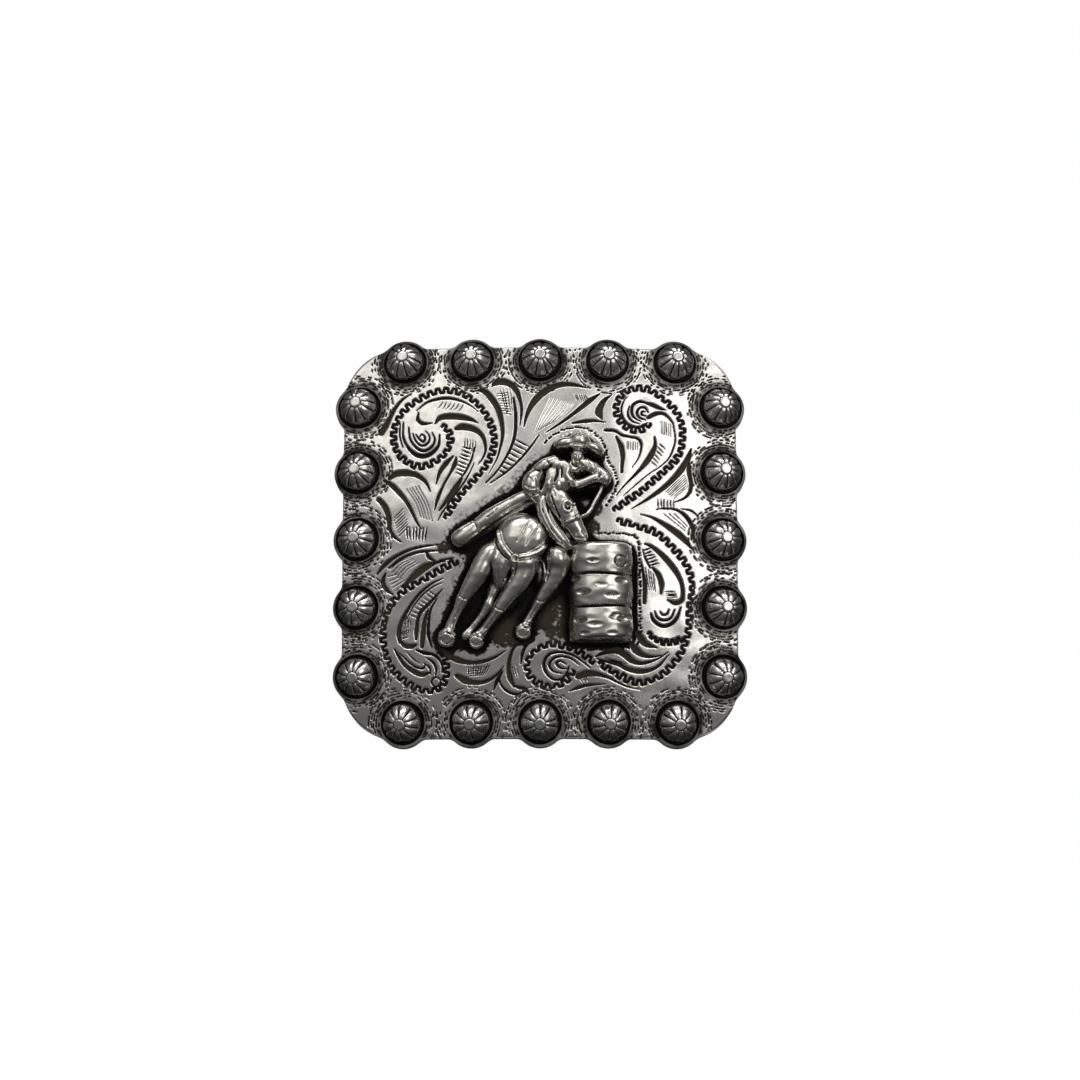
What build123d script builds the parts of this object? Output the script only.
from build123d import *
import math
import os

# A square screw-back concho, the cast ornament that is screwed onto a western saddle.
# Each piece is built lying flat: X right, Y up the face, Z out of the face, with the
# leather's front at Z = 0. The last step stands it up, so the face looks along -Y.
# All lengths are millimetres.

# Face plate
HALF_SIDE = 18.25          # centre to the straight stretch of each edge
CORNER_R = 5.0
LOBE_R = 2.25              # scallop round each berry
ROW = 16.85                # centre to the line of berries along each side
PITCH = 6.3                # spacing of the berries along a side
BERRIES_PER_SIDE = 5
NOTCH_FILLET = 0.5
APEX = 5.0                 # highest point of the domed front
PLATE_T = 1.6
DOME_R = 80.0
SEAT_R = 2.0
SEAT_DEPTH = 0.35

# Berries
BERRY_R = 1.72
BERRY_RISE = 1.75          # button above the face
BUTTON_R = 0.51
SET_GAP = 0.01             # solder line under each set piece

# Water barrel in the figure
BARREL_R = 2.9
BARREL_X = 5.55
BARREL_TOP = -0.85
BARREL_BOTTOM = -9.7
BARREL_AXIS_Z = 5.3
HOOP_GROOVES = (-3.8, -6.75)
GROOVE_DEPTH = 0.14

# Screw back
FLANGE_R = 4.0
FLANGE_T = 0.8
POST_R = 2.75
POST_TIP = -3.15
BORE_R = 2.1
BORE_TOP = 2.1
WASHER_R = 5.25
WASHER_HOLE_R = 2.3
WASHER_FRONT = -3.2
WASHER_T = 0.5
SHANK_R = 2.05
SHANK_TIP = 1.7
HEAD_R = 4.75
HEAD_FRONT = -3.72
HEAD_T = 1.28
SLOT_W = 1.2
SLOT_D = 0.6

DOME_CENTRE = Vector(0, 0, APEX - DOME_R)


def upright(piece):
    """Stand a flat piece up so that its face looks along -Y."""
    return Rot(90, 0, 0) * piece


def ball(radius):
    """Ball about the dome's centre, for trimming pieces to the domed face or back."""
    return Pos(*DOME_CENTRE) * Sphere(radius)


def face_frame(x, y):
    """Plane on the domed front at x, y, with Z along the dome's normal."""
    drop = math.sqrt(DOME_R**2 - x**2 - y**2)
    normal = Vector(x, y, drop).normalized()
    return Plane(origin=DOME_CENTRE + normal * DOME_R, z_dir=normal)


def berry_places():
    """Centres of the berries, clockwise from the left end of the top row."""
    steps = [(k - (BERRIES_PER_SIDE - 1) / 2) * PITCH for k in range(BERRIES_PER_SIDE)]
    top = [(s, ROW) for s in steps]
    right = [(ROW, -s) for s in steps]
    bottom = [(-s, -ROW) for s in steps]
    left = [(-ROW, s) for s in steps]
    return top + right + bottom + left


def spun(a, b, outline):
    """Solid of revolution about the line a to b; outline gives (distance along, radius)."""
    start = Vector(*a)
    frame = Plane(origin=start, z_dir=Vector(*b) - start)
    with BuildPart() as built:
        with BuildSketch(Plane.XZ):
            with BuildLine():
                Polyline(*[(radius, along) for along, radius in outline], close=True)
            make_face()
        revolve(axis=Axis.Z)
    return frame * built.part


def bar(a, b, radii):
    """Bar from a to b with blunt ends; radii are spaced evenly along it."""
    length = (Vector(*b) - Vector(*a)).length
    first = radii[0]
    last = radii[-1]
    outline = [(-0.8 * first, 0), (-0.7 * first, 0.5 * first), (-0.4 * first, 0.85 * first)]
    outline += [(length * k / (len(radii) - 1), r) for k, r in enumerate(radii)]
    outline += [(length + 0.4 * last, 0.85 * last), (length + 0.7 * last, 0.5 * last)]
    outline += [(length + 0.8 * last, 0)]
    return spun(a, b, outline)


def egg(centre, radius, half_length, along):
    """Spheroid about the centre, its own axis pointing along the given direction."""
    half = Vector(*along).normalized() * half_length
    start = Vector(*centre) - half
    frame = Plane(origin=start, z_dir=half)
    with BuildPart() as built:
        with BuildSketch(Plane.XZ):
            with Locations((0, half_length)):
                Ellipse(radius, half_length)
            with Locations((-radius, half_length)):
                Rectangle(2 * radius, 2 * half_length + 1, mode=Mode.SUBTRACT)
        revolve(axis=Axis.Z)
    return frame * built.part


def hoof(centre, radius, lean):
    """Short hoof whose sole looks out of the face, leaning down by the given degrees."""
    cup = Cone(radius * 0.8, radius, 1.5, align=(Align.CENTER, Align.CENTER, Align.MAX))
    return Pos(*centre) * Rot(lean, 0, 0) * cup


def face_plate():
    """Domed scalloped plate with a seat for every berry."""
    outline = RectangleRounded(2 * HALF_SIDE, 2 * HALF_SIDE, CORNER_R)
    for x, y in berry_places():
        outline = outline + Pos(x, y) * Circle(LOBE_R)
    reach = HALF_SIDE + 0.3
    notches = [
        v for v in outline.vertices()
        if max(abs(v.X), abs(v.Y)) < reach and math.hypot(v.X, v.Y) > HALF_SIDE - 0.1
    ]
    outline = fillet(notches, NOTCH_FILLET)
    plate = extrude(outline, 2 * APEX)
    plate = plate & ball(DOME_R)
    plate = plate - ball(DOME_R - PLATE_T)
    for x, y in berry_places():
        seat = Cylinder(SEAT_R, SEAT_DEPTH + 1, align=(Align.CENTER, Align.CENTER, Align.MIN))
        plate = plate - face_frame(x, y) * Pos(0, 0, -SEAT_DEPTH) * seat
    return plate


def berry(x, y):
    """Domed berry on its own base, with a raised button at the crown."""
    foot = -SEAT_DEPTH + SET_GAP
    crown = BERRY_RISE - 0.2
    with BuildPart() as built:
        with BuildSketch(Plane.XZ):
            with BuildLine():
                Polyline((0, foot), (BERRY_R - 0.12, foot), (BERRY_R, foot + 0.12), (BERRY_R, 0.1))
                ThreePointArc((BERRY_R, 0.1), (BERRY_R * 0.84, 0.9), (BUTTON_R, crown))
                Polyline((BUTTON_R, crown), (BUTTON_R, crown + 0.12), (BUTTON_R - 0.08, BERRY_RISE))
                Polyline((BUTTON_R - 0.08, BERRY_RISE), (0, BERRY_RISE), (0, foot))
            make_face()
        revolve(axis=Axis.Z)
    return face_frame(x, y) * built.part


def barrel(extra=0.0):
    """Hooped drum in half relief, grown by extra when used as a cutter."""
    height = BARREL_TOP - BARREL_BOTTOM
    body = Cylinder(BARREL_R + extra, height + 2 * extra)
    body = fillet(body.edges().filter_by(GeomType.CIRCLE), 0.35)
    middle = (BARREL_TOP + BARREL_BOTTOM) / 2
    body = Pos(BARREL_X, middle, BARREL_AXIS_Z) * Rot(90, 0, 0) * body
    if extra == 0.0:
        for level in HOOP_GROOVES:
            ring = Cylinder(BARREL_R + 1, 0.16) - Cylinder(BARREL_R - GROOVE_DEPTH, 0.16)
            body = body - Pos(BARREL_X, level, BARREL_AXIS_Z) * Rot(90, 0, 0) * ring
    return body - ball(DOME_R + SET_GAP)


def horse():
    """Horse coming round the barrel, its chest and head towards the viewer."""
    body = egg((-1.5, -1.0, 6.05), 2.4, 3.05, (0, 1, 0))
    body = body + egg((1.75, -1.9, 5.75), 1.4, 1.8, (-0.3, 1, 0))
    body = body + egg((-3.5, -1.8, 5.9), 1.35, 1.95, (0.45, 1, 0))
    body = body + bar((0.35, 2.75, 6.15), (2.5, -1.0, 6.0), [1.1, 1.25, 1.0])
    body = body + bar((1.3, 3.4, 7.1), (3.75, 0.05, 7.5), [0.85, 1.08, 0.95, 0.8])
    body = body + bar((-4.1, -2.0, 6.4), (-8.15, -8.2, 4.7), [1.05, 0.95, 0.72, 0.55, 0.47])
    body = body + bar((-3.3, -3.2, 5.6), (-6.7, -8.8, 4.5), [0.85, 0.6, 0.46, 0.47])
    body = body + bar((-1.4, -2.8, 6.4), (-5.55, -9.0, 4.8), [1.2, 0.95, 0.65, 0.52, 0.46])
    body = body + bar((2.35, -2.4, 5.8), (-1.3, -8.25, 4.9), [1.25, 0.95, 0.7, 0.5, 0.47])
    body = body + hoof((-8.45, -9.25, 5.75), 0.78, 20)
    body = body + hoof((-5.75, -9.65, 5.75), 0.68, 20)
    body = body + hoof((-1.5, -8.7, 5.85), 0.68, 20)
    body = body - barrel(SET_GAP)
    body = body - ball(DOME_R + SET_GAP)
    return body.solids().sort_by(SortBy.VOLUME)[-1]


def rider(mount):
    """Rider leaning in over the horse's neck, with hat, bent arms and one long leg."""
    body = egg((1.6, 5.0, 6.6), 1.65, 2.1, (0.7, 1, 0))
    body = body + bar((-7.25, -0.35, 5.4), (0.5, 3.95, 5.9), [0.82, 0.8, 0.72, 0.76])
    body = body + bar((0.5, 6.15, 6.8), (-0.5, 4.4, 6.95), [0.85, 0.92, 0.8])
    body = body + bar((-0.5, 4.5, 6.8), (0.1, 3.2, 6.5), [0.78, 0.66])
    body = body + bar((3.1, 6.35, 6.75), (5.85, 5.0, 7.1), [0.9, 0.75, 0.62])
    body = body + bar((5.75, 4.95, 7.15), (3.5, 4.35, 7.5), [0.55, 0.46, 0.5])
    body = body + bar((2.6, 5.7, 6.9), (3.35, 6.85, 7.1), [0.75, 0.7, 0.62])
    brim = [(0, 0), (0.05, 1.7), (0.35, 2.05), (0.6, 1.75), (0.75, 0)]
    body = body + spun((3.1, 7.65, 6.3), (3.2, 8.4, 6.55), brim)
    crown = [(0, 0), (0.1, 1.5), (0.7, 1.25), (1.1, 0.8), (1.2, 0)]
    body = body + spun((3.2, 7.95, 6.4), (3.4, 9.0, 6.5), crown)
    body = body - ball(DOME_R + SET_GAP)
    body = body - mount
    return body.solids().sort_by(SortBy.VOLUME)[-1]


def screw_post():
    """Flanged tube soldered to the plate's back; it passes through the leather."""
    top = APEX - PLATE_T
    low = (Align.CENTER, Align.CENTER, Align.MIN)
    flange = Pos(0, 0, top - FLANGE_T) * Cylinder(FLANGE_R, FLANGE_T, align=low)
    flange = flange & ball(DOME_R - PLATE_T - SET_GAP)
    post = Pos(0, 0, POST_TIP) * Cylinder(POST_R, top - FLANGE_T - POST_TIP, align=low)
    bore = Pos(0, 0, POST_TIP) * Cylinder(BORE_R, BORE_TOP - POST_TIP, align=low)
    return flange + post - bore


def washer():
    """Flat washer between the screw's head and the leather."""
    low = (Align.CENTER, Align.CENTER, Align.MAX)
    ring = Cylinder(WASHER_R, WASHER_T, align=low) - Cylinder(WASHER_HOLE_R, WASHER_T, align=low)
    return Pos(0, 0, WASHER_FRONT) * ring


def screw():
    """Slotted flat-head screw that threads into the post."""
    back = (Align.CENTER, Align.CENTER, Align.MAX)
    head = Pos(0, 0, HEAD_FRONT) * Cylinder(HEAD_R, HEAD_T, align=back)
    head = fillet(head.edges().group_by(Axis.Z)[0], 0.55)
    shank = Cylinder(SHANK_R, SHANK_TIP - HEAD_FRONT, align=(Align.CENTER, Align.CENTER, Align.MIN))
    shank = chamfer(shank.edges().group_by(Axis.Z)[-1], 0.35)
    slot = Pos(0, 0, HEAD_FRONT - HEAD_T + SLOT_D / 2) * Box(2 * HEAD_R + 1, SLOT_W, SLOT_D)
    return head + Pos(0, 0, HEAD_FRONT) * shank - slot


def main():
    os.makedirs("parts", exist_ok=True)
    mount = horse()
    nodes = {
        "face_plate": face_plate(),
        "barrel": barrel(),
        "horse": mount,
        "rider": rider(mount),
        "screw_post": screw_post(),
        "washer": washer(),
        "screw": screw(),
    }
    for k, (x, y) in enumerate(berry_places()):
        nodes[f"berry_{k + 1:02d}"] = berry(x, y)
    for name, piece in nodes.items():
        export_step(upright(piece), f"parts/{name}.step")
        print(name, round(piece.volume, 3), len(piece.solids()), piece.is_valid)


main()
